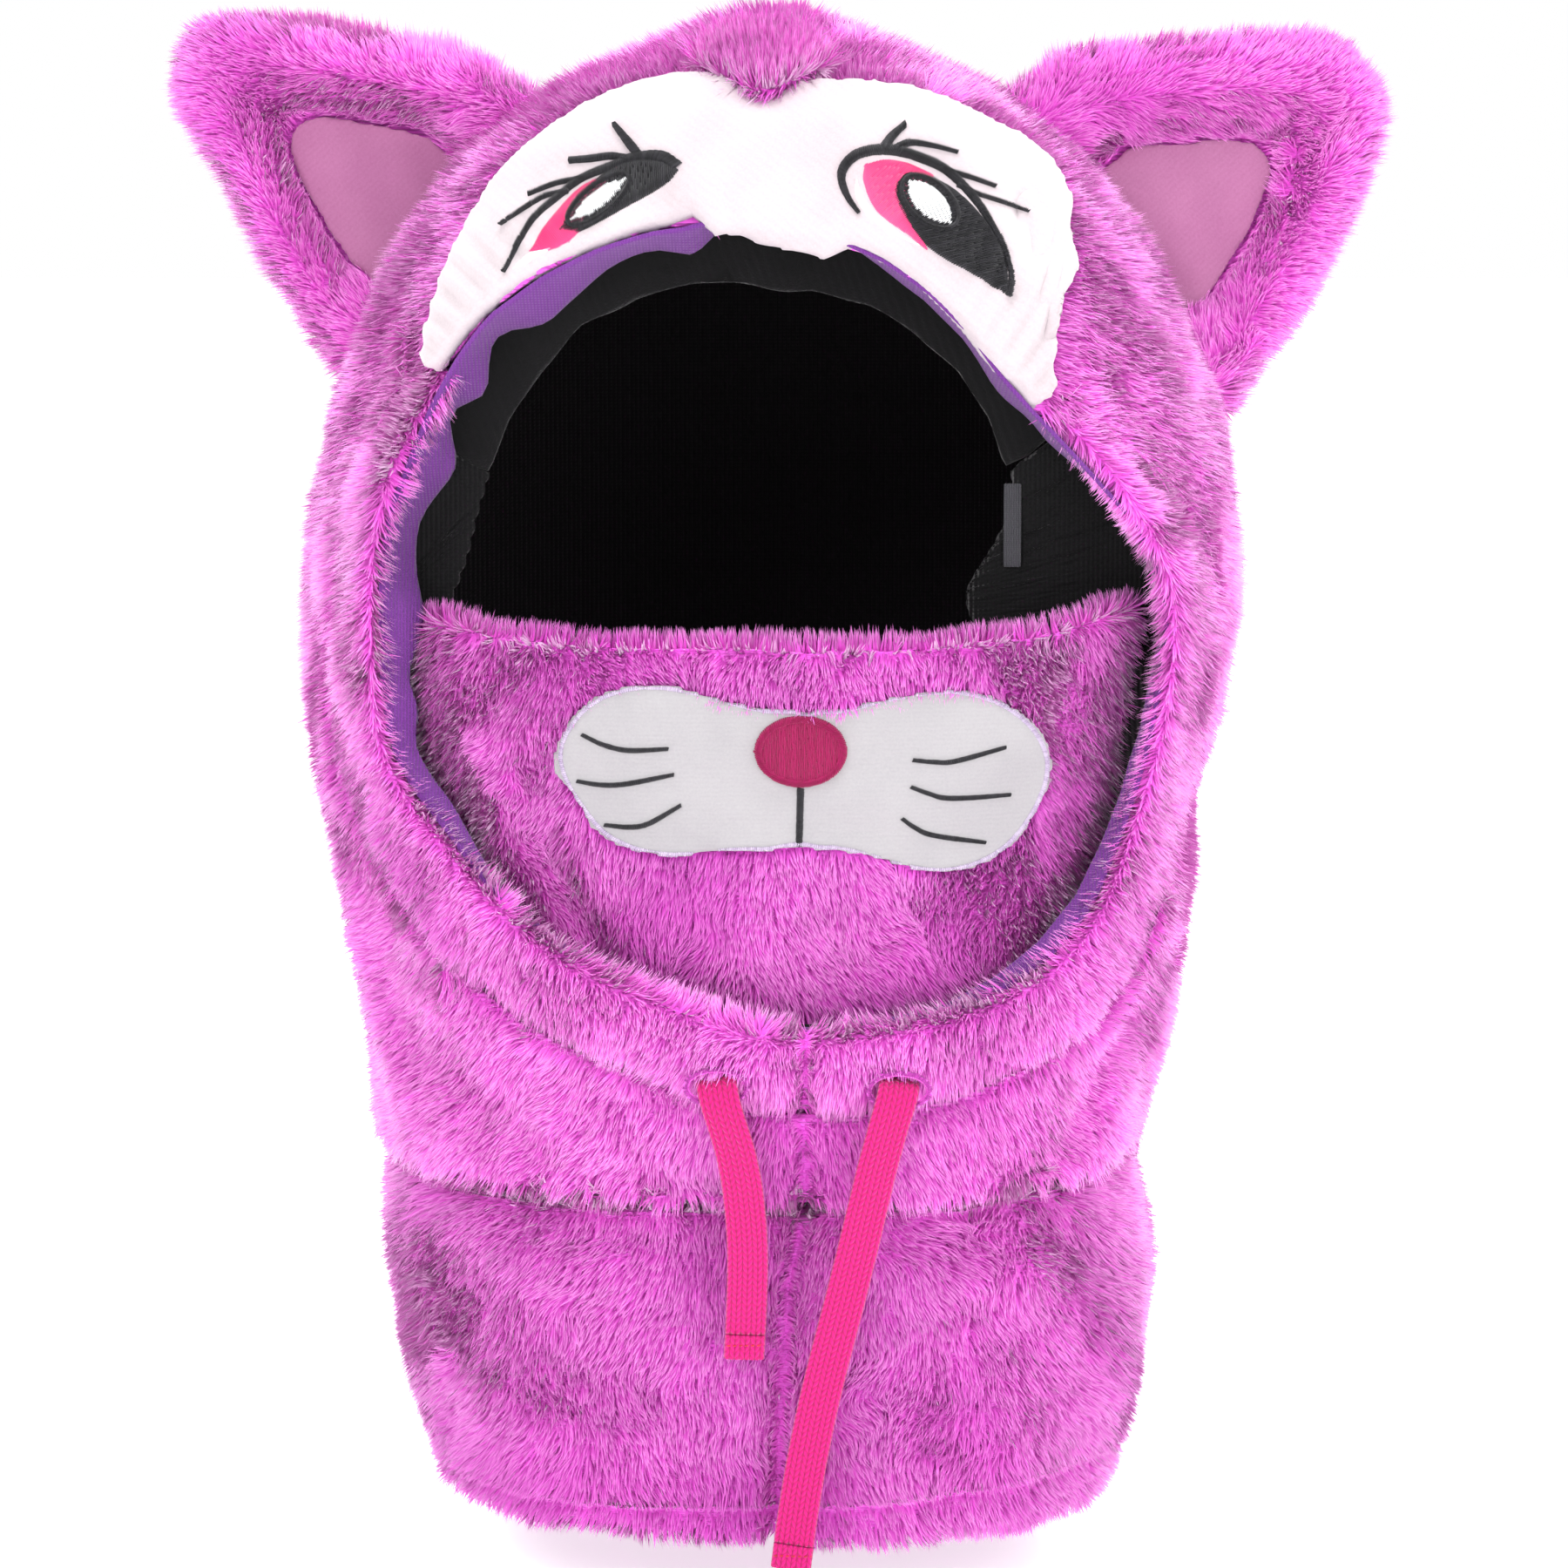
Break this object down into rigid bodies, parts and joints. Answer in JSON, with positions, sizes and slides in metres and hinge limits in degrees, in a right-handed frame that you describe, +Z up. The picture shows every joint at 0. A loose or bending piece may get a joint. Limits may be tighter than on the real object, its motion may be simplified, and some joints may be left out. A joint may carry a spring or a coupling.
{
  "type": "animal balaclava",
  "caption": "Plush cat-faced hood and neck warmer with ears, an eye panel, a face mask with a muzzle patch and flat drawcords at the chin.",
  "frame": {"origin": "where the crown of the head meets the inside of the lining, on the hood's upright middle line", "axes": "+Z up along the head, the face looks along -Y, +X to the right as seen from the front"},
  "size_m": [0.3574, 0.2587, 0.4447],
  "materials": {
    "plush": "long-pile plush, matt, lighter at the tips",
    "plush_dark": "clipped plush round a stitched hole",
    "cream_velour": "short-pile velour with a fine diagonal wale",
    "white_velour": "short-pile velour, matt",
    "lilac_velour": "short-pile velour, matt",
    "purple_facing": "plain jersey, matt",
    "black_lining": "brushed and ribbed knit, matt",
    "black_thread": "satin stitch embroidery",
    "white_thread": "satin stitch embroidery",
    "iris_thread": "satin stitch embroidery, shaded",
    "nose_thread": "satin stitch embroidery with a zigzag border",
    "cord": "flat braided cord"
  },
  "bodies": {
    "root": {"hood_shell": "plush", "face_casing": "plush", "foretuft": "plush", "ear_left": "plush", "ear_right": "plush", "face_mask": "plush", "neck_tube": "plush", "buttonhole_left": "plush_dark", "buttonhole_right": "plush_dark", "eye_panel": "cream_velour", "muzzle_patch": "white_velour", "blank_label": "white_velour", "ear_panel_left": "lilac_velour", "ear_panel_right": "lilac_velour", "rim_facing": "purple_facing", "hood_lining": "black_lining", "brow_band": "black_lining", "side_knit_left": "black_lining", "side_knit_right": "black_lining", "eye_pupil_left": "black_thread", "eye_pupil_right": "black_thread", "eye_lid_left": "black_thread", "eye_lid_right": "black_thread", "eye_iris_left": "iris_thread", "eye_iris_right": "iris_thread", "eye_glint_left": "white_thread", "eye_glint_right": "white_thread", "nose": "nose_thread", "drawcord_left": "cord", "drawcord_right": "cord", "drawcord_tab_left": "cord", "drawcord_tab_right": "cord"}
  },
  "joints": []
}
